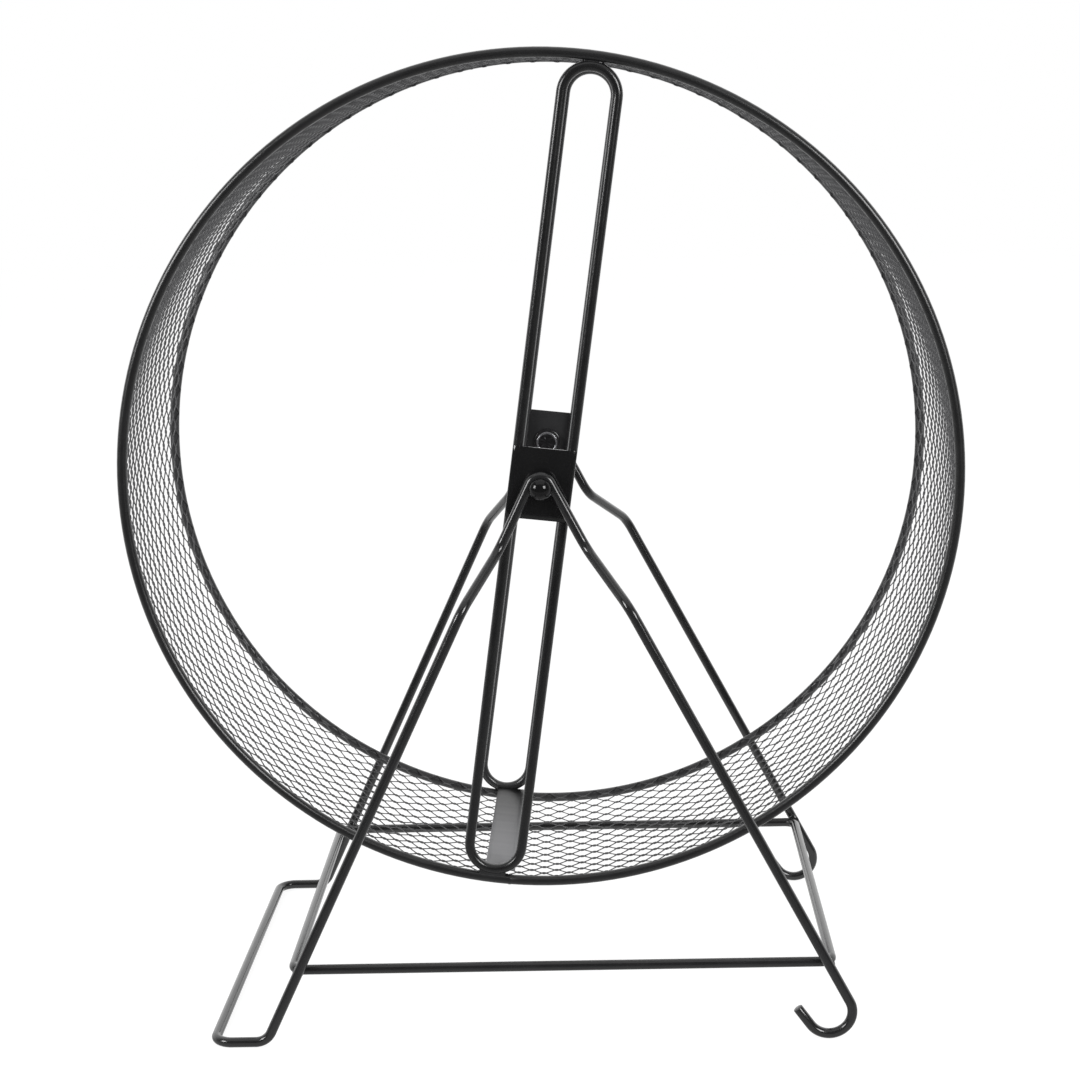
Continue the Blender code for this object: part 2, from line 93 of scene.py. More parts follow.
# Expanded metal sheet
MESH_RADIUS = 136.85 * MM
MESH_COLUMNS = 99
MESH_SLIT = 0.5 * MM
MESH_ROW = 3.672 * MM
MESH_ROWS = 13
MESH_THICKNESS = 0.28 * MM
MESH_MARGIN = 0.1 * MM
MESH_MERGE = 0.03 * MM
MESH_BULGE = 1.7 * MM
KNUCKLE_LENGTH = 0.7 * MM
KNUCKLE_WIDTH = 1.15 * MM
KNUCKLE_TILT = -45.0 * DEG
STRAND_WIDTH = 0.60 * MM
STRAND_TILT = -55.0 * DEG
SEAM_ANGLE = -math.pi / 2 - LEAN + 1.0 * DEG

# Seam strip: its ripples as (place along, height), in millimetres
STRIP_WIDTH = 10.4 * MM
STRIP_THICKNESS = 0.55 * MM
STRIP_EDGE = 0.12 * MM
STRIP_SHIFT = 0.42 * MM
STRIP_SKEW = 0.35 * DEG
STRIP_OUT = 45.4 * MM
STRIP_RADIUS = 135.35 * MM
STRIP_RIPPLES = (
    (-31.0, 0.04), (-19.0, -0.03), (-6.0, 0.04), (5.0, -0.04), (14.0, 0.04), (23.0, 0.03), (36.0, -0.04),
)
RIPPLE_CREST = 0.6 * MM
RIPPLE_REACH = 2.6 * MM

# Hub plates
PLATE_LENGTH = 24.0 * MM
PLATE_THICKNESS = 0.6 * MM
PLATE_CURL = 42.0 * DEG
PLATE_CUT = 1.8 * DEG
PLATE_GAP = 0.1 * MM
PLATE_EDGE = 0.1 * MM
PLATE_LIFT = {FRONT: 0.7 * MM, REAR: -0.6 * MM}
PLATE_HOLE = 2.8 * MM
DRILL_DEPTH = 6.0 * MM

# Turned pieces, all in millimetres: outlines are (radius, out) pairs
TURNED_SIDES = 48
BORE = 1.9
PIN_SHANK = [(1.8, 46.4), (1.8, 54.5)]
HEAD_SEAT = 54.5
HEAD_RADIUS = 3.45
HEAD_RIM = 0.9
HEAD_RISE = 1.85
HEAD_RINGS = 14
WASHER_OUTLINE = [
    (BORE, 49.7), (4.05, 49.7), (4.2, 49.85), (4.2, 50.35), (4.05, 50.5), (BORE, 50.5), (BORE, 49.7),
]
BUSH_SLEEVE = [(BORE, 49.4), (BORE, 47.3), (2.1, 47.1)]
BUSH_FLANGE = [(4.5, 47.1), (4.72, 47.2), (4.8, 47.45), (4.8, 48.1), (4.7, 48.2), (2.7, 48.2)]
BUSH_END = [(2.7, 49.3), (2.6, 49.4), (BORE, 49.4)]
CAP_WALL = [(2.3, 46.9), (3.8, 46.9), (3.94, 46.75)]
CAP_DISH = [(2.9, 45.82), (2.4, 45.75), (1.6, 45.65), (0.8, 45.75), (0.2, 45.7)]
LIP_CIRCLE = 3.52
LIP_ROUND = 0.42
LIP_OUT = 45.75
LIP_POINTS = 8
DENTS = 5
DENT_CIRCLE = 1.9
DENT_OUT = 45.7
DENT_REACH = 0.75
DENT_DEPTH = 0.22
DENT_START = 0.4

# Stand, and how far its rear frame stands further right than the front one
STAND_OUT = 76.5 * MM
CROOK_OUT = 52.5 * MM
CROOK_RADIUS = 3.8 * MM
HIGH_KNEE_DROP = 20.5 * MM
HIGH_KNEE_LEFT = 14.2 * MM
HIGH_KNEE_RIGHT = 14.8 * MM
LOW_KNEE_DROP = 35.0 * MM
LOW_KNEE_LEFT = 25.4 * MM
LOW_KNEE_RIGHT = 28.2 * MM
LEFT_REACH = 96.1 * MM
RIGHT_REACH = 106.3 * MM
KNEE_BEND = 9.0 * MM
FOOT_REACH = 114.0 * MM
FOOT_BEND = 6.0 * MM
HOOK_RADIUS = 7.7 * MM
HOOK_TURN = 172.0 * DEG
HOOK_TAIL = 7.5 * MM
KNEE_SHIFT = {FRONT: 0.0, REAR: 0.9 * MM}
FOOT_SHIFT = {FRONT: 0.0, REAR: 1.4 * MM}

# Base frame
BASE_HEIGHT = 26.0 * MM
BASE_OUT = 72.8 * MM
BASE_OVERHANG = 2.1 * MM
BASE_TRIM = 0.9 * MM
BASE_CORNER = 4.0 * MM

# Studio: the room's light along Y, as it shows in the object, and the lamps
WHITE = (1.0, 1.0, 1.0, 1.0)
ROOM_FILL = 0.6
ROOM_DEPTHS = (-0.25, 0.55)
ROOM_LIGHT = (0.08, 1.6)
LAMP_TARGET = Vector((0.0, 0.0, 0.18))
LEFT_LAMP = Vector((-0.909, -0.661, 0.600))
RIGHT_LAMP = Vector((0.727, -0.867, 0.581))
SIDE_LAMP_SIZE = (0.40, 0.44)
SIDE_LAMP_POWER = 8.5
HIGH_LAMP = Vector((0.0, -0.40, 1.25))
HIGH_LAMP_SIZE = (1.6, 0.9)
HIGH_LAMP_POWER = 3.4

# Floor: its reflection along Y, and how much of it glows by itself
FLOOR_SIZE = 4.0
FLOOR_NEAR = 0.45
FLOOR_DROP = 0.0002
FLOOR_GREY = (0.86, 0.86, 0.86, 1.0)
FLOOR_GLOW = 1.12
FLOOR_GLOW_SHARE = 0.8
FLOOR_DEPTHS = (-0.20, 0.05)
FLOOR_LIGHT = (0.12, 1.0)

# Finishes
COOL_TINT = 1.04
DUST_GREY = 0.2
# How far inside the cap's lip circle the painted highlight fades in, in millimetres
LIP_HIGHLIGHT_FADE = (0.45, 0.2)


# Modelling helpers


def fresh():
    bpy.ops.object.select_all(action="DESELECT")


def edit_mode():
    bpy.ops.object.mode_set(mode="EDIT")


def object_mode():
    bpy.ops.object.mode_set(mode="OBJECT")


def select_all():
    bpy.ops.mesh.select_all(action="SELECT")


def only(piece):
    """Make a piece the selected and active one, and nothing else."""
    fresh()
    piece.select_set(True)
    bpy.context.view_layer.objects.active = piece


def named(name):
    """Name the piece that was just added and put its place into its mesh."""
    piece = bpy.context.object
    piece.name = name
    piece.data.name = name
    bpy.ops.object.transform_apply(location=True, rotation=True, scale=True)
    return piece


def pick(piece, wanted, kind="VERT"):
    """In edit mode, select the vertices whose place passes the test, or the edges between them."""
    object_mode()
    mesh = piece.data
    for polygon in mesh.polygons:
        polygon.select = False
    for edge in mesh.edges:
        edge.select = False
    for vertex in mesh.vertices:
        vertex.select = kind == "VERT" and wanted(vertex.co)
    if kind == "EDGE":
        for edge in mesh.edges:
            ends = [mesh.vertices[index].co for index in edge.vertices]
            edge.select = all(wanted(end) for end in ends)
            for index in edge.vertices:
                if edge.select:
                    mesh.vertices[index].select = True
    edit_mode()
    bpy.ops.mesh.select_mode(type=kind)


def merge_and_face_out():
    bpy.ops.mesh.select_mode(type="VERT")
    select_all()
    bpy.ops.mesh.remove_doubles(threshold=MERGE)
    bpy.ops.mesh.normals_make_consistent(inside=False)


def smooth(piece, angle=SMOOTH_ANGLE):
    only(piece)
    bpy.ops.object.shade_smooth_by_angle(angle=angle)


def apply_modifier(piece, kind, **settings):
    only(piece)
    modifier = piece.modifiers.new(kind.lower(), kind)
    for key, value in settings.items():
        setattr(modifier, key, value)
    bpy.ops.object.modifier_apply(modifier=modifier.name)


def thicken(piece, thickness):
    apply_modifier(piece, "SOLIDIFY", thickness=thickness, offset=0.0)


def round_edges(piece, width, limit):
    apply_modifier(piece, "BEVEL", width=width, segments=2, limit_method="ANGLE", angle_limit=limit)


def swell_weld(piece, joint, swell):
    """Raise a butt weld above the wire on either side of it."""
    pick(piece, lambda place: (place - joint).length < WELD_REACH)
    bpy.ops.transform.resize(value=swell, center_override=joint)


def seat(piece, material, body, slot, *nodes):
    """Give a piece its material and body, and hide the solids that it stands for. Its slot is not used."""
    piece.data.materials.clear()
    piece.data.materials.append(material)
    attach(piece, body)
    if nodes:
        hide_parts(*nodes)


# Places


def around(centre, angle, radius):
    """A point round a centre, its angle measured anticlockwise from the right."""
    return centre + Vector((math.cos(angle), 0.0, math.sin(angle))) * radius


def tangent(angle):
    """The anticlockwise heading at an angle round a circle."""
    return Vector((-math.sin(angle), 0.0, math.cos(angle)))


def leaned(across, out, along):
    """A point of a spoke loop: across its width, out along the axle, along its length."""
    return AXLE + LEANED @ Vector((across, out, along))


def leg_x(knee_x, reach, height):
    """How far a lower leg stands from the middle at a height, given its knee and its foot."""
    knee_height = AXLE.z - LOW_KNEE_DROP
    share = (knee_height - height) / (knee_height - WIRE_RADIUS)
    return knee_x + (reach - knee_x) * share


def crook_ends(out):
    """The crook's centre, and the angles above level at which its right and left legs leave."""
    angles = []
    for knee_x in (HIGH_KNEE_RIGHT, HIGH_KNEE_LEFT):
        distance = math.hypot(knee_x, HIGH_KNEE_DROP)
        angles.append(math.acos(CROOK_RADIUS / distance) - math.atan2(HIGH_KNEE_DROP, knee_x))
    return Vector((0.0, out, AXLE.z)), angles[0], angles[1]


def hook_centre(side):
    """The centre of a frame's hook, and how far the leg above it leans."""
    knee = LOW_KNEE_RIGHT + KNEE_SHIFT[side]
    reach = RIGHT_REACH + FOOT_SHIFT[side]
    lean = math.atan2(reach - knee, AXLE.z - LOW_KNEE_DROP - WIRE_RADIUS)
    height = WIRE_RADIUS + HOOK_RADIUS
    across = leg_x(knee, reach, height) - HOOK_RADIUS / math.cos(lean)
    return Vector((across, side * STAND_OUT, height)), lean


# Bent wires


class Wire:
    """A round wire drawn out by extruding its end and bending it round a former."""

    def __init__(self, name, start, heading):
        self.tip = Vector(start)
        self.heading = Vector(heading).normalized()
        fresh()
        turned = self.heading.to_track_quat("Z", "Y").to_euler()
        bpy.ops.mesh.primitive_circle_add(
            vertices=WIRE_SIDES, radius=WIRE_RADIUS, fill_type="NOTHING", location=start, rotation=turned
        )
        self.piece = named(name)
        edit_mode()
        bpy.ops.mesh.select_mode(type="VERT")
        select_all()

    def run_to(self, point):
        step = Vector(point) - self.tip
        if step.length < MERGE:
            return
        bpy.ops.mesh.extrude_region_move(TRANSFORM_OT_translate={"value": step})
        self.tip = Vector(point)

    def run(self, length):
        self.run_to(self.tip + self.heading * length)

    def bend(self, centre, axis, angle, step=BEND_STEP):
        """Bend about an axis through a centre, by the right-hand rule."""
        parts = max(2, math.ceil(angle / step))
        bpy.ops.mesh.spin(steps=parts, angle=angle, center=centre, axis=-axis)
        turn = Matrix.Rotation(angle, 3, axis)
        self.tip = turn @ (self.tip - centre) + centre
        self.heading = turn @ self.heading

    def corner(self, corner, after, radius):
        """Run to a corner, round it at a bend radius, and face the next point."""
        ahead = (after - corner).normalized()
        turn = self.heading.angle(ahead)
        reach = radius * math.tan(turn / 2)
        self.run_to(corner - self.heading * reach)
        inward = (ahead - self.heading).normalized()
        centre = corner + inward * (radius / math.cos(turn / 2))
        self.bend(centre, self.heading.cross(ahead).normalized(), turn)

    def cut_ends(self):
        """Close both ends with a flat face, its edge slightly rounded."""
        select_all()
        bpy.ops.mesh.remove_doubles(threshold=MERGE)
        bpy.ops.mesh.select_all(action="DESELECT")
        bpy.ops.mesh.select_non_manifold()
        bpy.ops.mesh.edge_face_add()
        bpy.ops.mesh.select_mode(type="FACE")
        bpy.ops.mesh.select_all(action="DESELECT")
        object_mode()
        for polygon in self.piece.data.polygons:
            polygon.select = len(polygon.vertices) > 4
        edit_mode()
        bpy.ops.mesh.region_to_loop()
        bpy.ops.mesh.bevel(offset=CUT_EDGE, segments=2)

    def finish(self):
        merge_and_face_out()
        object_mode()
        smooth(self.piece)
        return self.piece


def make_ring(name, side):
    """A rim bent full circle and butt welded, with the weld standing a little proud."""
    centre = AXLE + Vector((0.0, side * RIM_OUT, 0.0))
    joint = around(centre, RIM_JOINT[side], RIM_RADIUS)
    wire = Wire(name, joint, tangent(RIM_JOINT[side]))
    wire.bend(centre, ANTICLOCKWISE, RIM_WELD_TURN, RIM_WELD_TURN / 2)
    wire.bend(centre, ANTICLOCKWISE, 2 * math.pi - 2 * RIM_WELD_TURN, RIM_STEP)
    wire.bend(centre, ANTICLOCKWISE, RIM_WELD_TURN, RIM_WELD_TURN / 2)
    merge_and_face_out()
    swell_weld(wire.piece, joint, RIM_WELD_SWELL)
    return wire.finish()


def make_loop(name, side):
    """A long loop with two round ends, closed by a butt weld low on its left run."""
    out = side * RIM_OUT
    centre = LOOP_CROWN - LOOP_HALF_WIDTH
    up = LEANED @ Vector((0.0, 0.0, 1.0))
    joint = leaned(-LOOP_HALF_WIDTH, out, -centre * LOOP_WELD_PLACE)
    wire = Wire(name, joint, up)
    wire.run(LOOP_WELD_LENGTH)
    wire.run_to(leaned(-LOOP_HALF_WIDTH, out, centre))
    wire.bend(leaned(0.0, out, centre), CLOCKWISE, math.pi)
    wire.run_to(leaned(LOOP_HALF_WIDTH, out, -centre))
    wire.bend(leaned(0.0, out, -centre), CLOCKWISE, math.pi)
    wire.run_to(joint - up * LOOP_WELD_LENGTH)
    wire.run_to(joint)
    merge_and_face_out()
    swell_weld(wire.piece, joint, LOOP_WELD_SWELL)
    return wire.finish()


def draw_frame(wire, side):
    """Bend one frame of the stand: the front one from its hook to the foot, the rear one back."""
    out = side * STAND_OUT
    inner = side * CROOK_OUT
    high = AXLE.z - HIGH_KNEE_DROP
    low = AXLE.z - LOW_KNEE_DROP
    low_right = Vector((LOW_KNEE_RIGHT + KNEE_SHIFT[side], out, low))
    high_right = Vector((HIGH_KNEE_RIGHT, inner, high))
    high_left = Vector((-HIGH_KNEE_LEFT, inner, high))
    low_left = Vector((-LOW_KNEE_LEFT + KNEE_SHIFT[side], out, low))
    heel = Vector((-LEFT_REACH + FOOT_SHIFT[side], out, WIRE_RADIUS))
    toe = Vector((-FOOT_REACH + FOOT_SHIFT[side], out, WIRE_RADIUS))
    foot_middle = Vector((-FOOT_REACH + FOOT_SHIFT[REAR] / 2, 0.0, WIRE_RADIUS))
    crook, right, left = crook_ends(inner)
    crook_right = around(crook, right, CROOK_RADIUS)
    crook_left = around(crook, math.pi - left, CROOK_RADIUS)
    crook_turn = math.pi - right - left
    hook, lean = hook_centre(side)
    if side == FRONT:
        wire.run(HOOK_TAIL)
        wire.bend(hook, ANTICLOCKWISE, HOOK_TURN)
        wire.corner(low_right, high_right, KNEE_BEND)
        wire.corner(high_right, crook_right, KNEE_BEND)
        wire.run_to(crook_right)
        wire.bend(crook, ANTICLOCKWISE, crook_turn)
        wire.corner(high_left, low_left, KNEE_BEND)
        wire.corner(low_left, heel, KNEE_BEND)
        wire.corner(heel, toe, FOOT_BEND)
        wire.corner(toe, foot_middle, FOOT_BEND)
        wire.run_to(foot_middle)
    else:
        hook_start = around(hook, lean, HOOK_RADIUS)
        wire.corner(toe, heel, FOOT_BEND)
        wire.corner(heel, low_left, FOOT_BEND)
        wire.corner(low_left, high_left, KNEE_BEND)
        wire.corner(high_left, crook_left, KNEE_BEND)
        wire.run_to(crook_left)
        wire.bend(crook, CLOCKWISE, crook_turn)
        wire.corner(high_right, low_right, KNEE_BEND)
        wire.corner(low_right, hook_start, KNEE_BEND)
        wire.run_to(hook_start)
        wire.bend(hook, CLOCKWISE, HOOK_TURN)
        wire.run(HOOK_TAIL)


def make_stand():
    """One wire: the front frame, the foot under it, and the rear frame."""
    hook, lean = hook_centre(FRONT)
    first = lean - HOOK_TURN
    heading = tangent(first)
    wire = Wire("bent_stand_wire", around(hook, first, HOOK_RADIUS) - heading * HOOK_TAIL, heading)
    draw_frame(wire, FRONT)
    draw_frame(wire, REAR)
    wire.cut_ends()
    return wire.finish()


def make_base():
    """A closed rectangle of wire between the leg frames."""
    left = -leg_x(LOW_KNEE_LEFT, LEFT_REACH, BASE_HEIGHT) - BASE_OVERHANG
    right = leg_x(LOW_KNEE_RIGHT, RIGHT_REACH, BASE_HEIGHT) + BASE_OVERHANG - BASE_TRIM
    corners = [
        Vector((right, -BASE_OUT, BASE_HEIGHT)),
        Vector((right, BASE_OUT, BASE_HEIGHT)),
        Vector((left, BASE_OUT, BASE_HEIGHT)),
        Vector((left, -BASE_OUT, BASE_HEIGHT)),
    ]
    start = (corners[3] + corners[0]) / 2
    wire = Wire("welded_base_wire", start, Vector((1.0, 0.0, 0.0)))
    for corner, after in zip(corners, corners[1:] + corners[:1]):
        wire.corner(corner, after, BASE_CORNER)
    wire.run_to(start)
    return wire.finish()


# Sheet pieces


def draw_strand(cell, across, along, quarter):
    """Draw half a strand out from one corner of the knuckle, narrowed, turned and tilted at its end."""
    half_long = KNUCKLE_LENGTH / 2
    half_wide = KNUCKLE_WIDTH / 2
    edge_middle = Vector((
        across * half_long,
        along * half_wide / 2 * math.cos(KNUCKLE_TILT),
        along * half_wide / 2 * math.sin(KNUCKLE_TILT),
    ))
    end = Vector((across * quarter, along * MESH_ROW / 2, 0.0))
    width_share = STRAND_WIDTH / (half_wide * math.cos(KNUCKLE_TILT))
    slope = math.atan2(MESH_ROW / 2, quarter - half_long)

    def on_corner_edge(place):
        return abs(place.x - edge_middle.x) < half_long / 10 and place.y * along > -half_wide / 10

    pick(cell, on_corner_edge, "EDGE")
    bpy.ops.mesh.extrude_region_move(TRANSFORM_OT_translate={"value": end - edge_middle})
    bpy.ops.transform.resize(value=(1.0, 1.0, 0.0), center_override=end)
    bpy.ops.transform.resize(value=(1.0, width_share, 1.0), center_override=end)
    bpy.ops.transform.rotate(value=-across * along * slope, orient_axis="Z", center_override=end)
    bpy.ops.transform.rotate(value=-STRAND_TILT, orient_axis="X", center_override=end)


def make_mesh_cell(name, quarter):
    """A tilted knuckle of expanded metal with its four half strands."""
    fresh()
    bpy.ops.mesh.primitive_grid_add(x_subdivisions=2, y_subdivisions=2, size=KNUCKLE_LENGTH)
    cell = named(name)
    edit_mode()
    select_all()
    bpy.ops.transform.resize(value=(1.0, KNUCKLE_WIDTH / KNUCKLE_LENGTH, 1.0))
    bpy.ops.transform.rotate(value=-KNUCKLE_TILT, orient_axis="X", center_override=(0.0, 0.0, 0.0))
    for across in (-1, 1):
        for along in (-1, 1):
            draw_strand(cell, across, along, quarter)
    return cell


def make_mesh_drum():
    """Expanded metal: one column of cells and its staggered neighbour, bulged and rolled into a drum."""
    pitch = (2 * math.pi - MESH_SLIT / MESH_RADIUS) / MESH_COLUMNS
    drum = make_mesh_cell("expanded_mesh_drum", MESH_RADIUS * math.tan(pitch / 4))
    select_all()
    front_row = -MESH_ROW * (MESH_ROWS - 0.5)
    bpy.ops.transform.translate(value=(0.0, front_row, AXLE.z - MESH_RADIUS))
    object_mode()
    apply_modifier(
        drum, "ARRAY", count=MESH_ROWS, use_relative_offset=False, use_constant_offset=True,
        constant_offset_displace=(0.0, 2 * MESH_ROW, 0.0),
    )
    edit_mode()
    bpy.ops.mesh.select_mode(type="VERT")
    select_all()
    bpy.ops.mesh.duplicate()
    bpy.ops.transform.translate(value=(0.0, MESH_ROW, 0.0))
    bpy.ops.transform.rotate(value=pitch / 2, orient_axis="Y", center_override=AXLE)
    half_knuckle = KNUCKLE_WIDTH / 2
    edge = MESH_ROW * (MESH_ROWS - 0.5) + half_knuckle + MESH_MARGIN
    for side in (FRONT, REAR):
        select_all()
        bpy.ops.mesh.bisect(plane_co=(0.0, side * edge, 0.0), plane_no=(0.0, side, 0.0), clear_outer=True)
    pick(drum, lambda place: abs(place.y) < half_knuckle)
    bpy.ops.transform.translate(
        value=(0.0, 0.0, -MESH_BULGE), use_proportional_edit=True,
        proportional_edit_falloff="INVERSE_SQUARE", proportional_size=edge,
    )
    select_all()
    first = SEAM_ANGLE + math.pi / 2 + MESH_SLIT / MESH_RADIUS / 2 + pitch / 4
    bpy.ops.transform.rotate(value=first, orient_axis="Y", center_override=AXLE)
    copies = MESH_COLUMNS - 1
    bpy.ops.mesh.spin(steps=copies, dupli=True, angle=pitch * copies, center=AXLE, axis=CLOCKWISE)
    select_all()
    bpy.ops.mesh.remove_doubles(threshold=MESH_MERGE)
    bpy.ops.mesh.normals_make_consistent(inside=False)
    object_mode()
    thicken(drum, MESH_THICKNESS)
    return drum


def make_seam_strip():
    """The band over the sheet's joint, with its long edges rounded and faint cross ripples."""
    fresh()
    bpy.ops.mesh.primitive_grid_add(x_subdivisions=6, y_subdivisions=90, size=1.0)
    strip = named("seam_cover_strip")
    edit_mode()
    select_all()
    bpy.ops.transform.resize(value=(STRIP_WIDTH, 2 * STRIP_OUT, 1.0))
    bpy.ops.transform.translate(value=(0.0, 0.0, AXLE.z - STRIP_RADIUS))
    for place_along, height in STRIP_RIPPLES:
        along = place_along * MM
        pick(strip, lambda place: abs(place.y - along) < RIPPLE_CREST)
        bpy.ops.transform.translate(
            value=(0.0, 0.0, height * MM), use_proportional_edit=True,
            proportional_edit_falloff="SMOOTH", proportional_size=RIPPLE_REACH,
        )
    select_all()
    bpy.ops.transform.rotate(value=STRIP_SKEW, orient_axis="Z", center_override=(0.0, 0.0, 0.0))
    bpy.ops.transform.translate(value=(STRIP_SHIFT, 0.0, 0.0))
    bpy.ops.transform.rotate(value=SEAM_ANGLE + math.pi / 2, orient_axis="Y", center_override=AXLE)
    object_mode()
    thicken(strip, STRIP_THICKNESS)
    round_edges(strip, STRIP_EDGE, 60.0 * DEG)
    smooth(strip, 50.0 * DEG)
    return strip


def make_drill(centre):
    fresh()
    bpy.ops.mesh.primitive_cylinder_add(
        vertices=TURNED_SIDES, radius=PLATE_HOLE, depth=DRILL_DEPTH,
        rotation=(math.pi / 2, 0.0, 0.0), location=centre,
    )
    return named("plate_drill")


def make_hub_plate(name, side):
    """A pressed plate across the loop, its two edges curled over the wires, with a bush hole."""
    middle = RIM_OUT + WIRE_RADIUS + PLATE_GAP + PLATE_THICKNESS / 2
    fresh()
    bpy.ops.mesh.primitive_grid_add(
        x_subdivisions=6, y_subdivisions=8, size=1.0, rotation=(math.pi / 2, 0.0, 0.0)
    )
    plate = named(name)
    edit_mode()
    select_all()
    bpy.ops.transform.resize(value=(2 * LOOP_HALF_WIDTH, 1.0, PLATE_LENGTH))
    for end in (-1, 1):
        cut = end * PLATE_LENGTH / 2
        pick(plate, lambda place: abs(place.z - cut) < NEAR)
        bpy.ops.transform.rotate(value=PLATE_CUT, orient_axis="Y", center_override=(0.0, 0.0, cut))
    select_all()
    bpy.ops.transform.translate(value=AXLE + Vector((0.0, side * middle, PLATE_LIFT[side])))
    for across in (-1, 1):
        edge = across * LOOP_HALF_WIDTH
        pick(plate, lambda place: abs(place.x - edge) < NEAR, "EDGE")
        bpy.ops.mesh.spin(
            steps=10, angle=PLATE_CURL, axis=(0.0, 0.0, side * across), center=(edge, side * RIM_OUT, AXLE.z)
        )
    merge_and_face_out()
    select_all()
    bpy.ops.transform.rotate(value=-LEAN, orient_axis="Y", center_override=AXLE)
    object_mode()
    thicken(plate, PLATE_THICKNESS)
    drill = make_drill(AXLE + Vector((0.0, side * middle, 0.0)))
    apply_modifier(plate, "BOOLEAN", operation="DIFFERENCE", solver="EXACT", object=drill)
    bpy.data.objects.remove(drill, do_unlink=True)
    round_edges(plate, PLATE_EDGE, 50.0 * DEG)
    smooth(plate, 40.0 * DEG)
    return plate


# Turned pieces


def turn(name, outline, side, closed=False):
    """Draw a turned piece out from its first circle through (radius, out) pairs in millimetres."""
    radius, out = outline[0]
    fresh()
    bpy.ops.mesh.primitive_circle_add(
        vertices=TURNED_SIDES, radius=radius * MM, fill_type="NOTHING", rotation=(math.pi / 2, 0.0, 0.0),
        location=AXLE + Vector((0.0, side * out * MM, 0.0)),
    )
    piece = named(name)
    edit_mode()
    bpy.ops.mesh.select_mode(type="VERT")
    select_all()
    for next_radius, next_out in outline[1:]:
        step = Vector((0.0, side * (next_out - out) * MM, 0.0))
        centre = AXLE + Vector((0.0, side * next_out * MM, 0.0))
        share = next_radius / radius
        bpy.ops.mesh.extrude_region_move(TRANSFORM_OT_translate={"value": step})
        bpy.ops.transform.resize(value=(share, 1.0, share), center_override=centre)
        radius, out = next_radius, next_out
    if not closed:
        bpy.ops.mesh.select_all(action="DESELECT")
        bpy.ops.mesh.select_non_manifold()
        bpy.ops.mesh.edge_face_add()
    merge_and_face_out()
    object_mode()
    smooth(piece, 40.0 * DEG)
    return piece


def dome(radius, base, rim, rise):
    """The outline of a straight rim and a spherical crown, in millimetres."""
    ball = (radius * radius + rise * rise) / (2 * rise)
    widest = math.asin(radius / ball)
    points = [(radius, base), (radius, base + rim)]
    for ring in range(1, HEAD_RINGS):
        angle = widest * (1 - ring / HEAD_RINGS)
        points.append((ball * math.sin(angle), base + rim + rise - ball * (1 - math.cos(angle))))
    return points


def make_pin(name, side):
    return turn(name, PIN_SHANK + dome(HEAD_RADIUS, HEAD_SEAT, HEAD_RIM, HEAD_RISE), side)


def make_washer(name, side):
    return turn(name, WASHER_OUTLINE, side, closed=True)


def make_bush(name, side):
    return turn(name, BUSH_SLEEVE + BUSH_FLANGE + BUSH_END, side, closed=True)


def make_cap(name, side):
    """A round-lipped cap on the pin's inner end, its dish peened with a ring of dents."""
    lip = []
    for point in range(LIP_POINTS, -1, -1):
        angle = point * math.pi / LIP_POINTS
        lip.append((LIP_CIRCLE - LIP_ROUND * math.cos(angle), LIP_OUT - LIP_ROUND * math.sin(angle)))
    cap = turn(name, CAP_WALL + lip + CAP_DISH, side)
    for number in range(DENTS):
        angle = DENT_START + number * 2 * math.pi / DENTS
        dent = around(AXLE + Vector((0.0, side * DENT_OUT * MM, 0.0)), angle, DENT_CIRCLE * MM)
        pick(cap, lambda place: (place - dent).length < DENT_REACH * MM)
        bpy.ops.transform.translate(value=(0.0, side * DENT_DEPTH * MM, 0.0))
    object_mode()
    return cap


# Welds


def make_weld(name, centre, along, up, size, tab=False):
    """Weld metal over a joint, square to the axle: a ball drawn out along it, or a soft-edged tab."""
    fresh()
    if tab:
        bpy.ops.mesh.primitive_cube_add(size=2.0)
    else:
        bpy.ops.mesh.primitive_ico_sphere_add(subdivisions=3, radius=1.0)
    bead = named(name)
    edit_mode()
    select_all()
    bpy.ops.transform.resize(value=size)
    if tab:
        bpy.ops.mesh.bevel(offset=TAB_EDGE, segments=4, affect="EDGES")
    object_mode()
    turn_to = Matrix((along, up.cross(along), up)).transposed().to_4x4()
    bead.matrix_world = Matrix.Translation(centre) @ turn_to
    only(bead)
    bpy.ops.object.transform_apply(location=True, rotation=True, scale=True)
    smooth(bead)
    return bead


def make_loop_weld(name, side, way, size, tab):
    """The weld between an end of a spoke loop and its rim: 1 for the top end, -1 for the foot."""
    spot = leaned(0.0, side * RIM_OUT, way * (RIM_RADIUS - WIRE_RADIUS - size.z / 3))
    across = LEANED @ Vector((1.0, 0.0, 0.0))
    up = LEANED @ Vector((0.0, 0.0, 1.0))
    return make_weld(name, spot, across, up, size, tab)


def make_leg_weld(name, side, way, knee, foot):
    """The weld where the base frame passes a lower leg: -1 for the left leg, 1 for the right one."""
    shift = leg_x(KNEE_SHIFT[side], FOOT_SHIFT[side], BASE_HEIGHT)
    place = way * leg_x(knee, foot, BASE_HEIGHT) + shift
    crossing = Vector((place, side * (STAND_OUT + BASE_OUT) / 2, BASE_HEIGHT))
    slope = math.atan2(way * (foot - knee), AXLE.z - LOW_KNEE_DROP - WIRE_RADIUS)
    down_leg = Vector((math.sin(slope), 0.0, -math.cos(slope)))
    across_leg = Vector((math.cos(slope), 0.0, math.sin(slope)))
    return make_weld(name, crossing, down_leg, across_leg, LEG_WELD)


# Shading


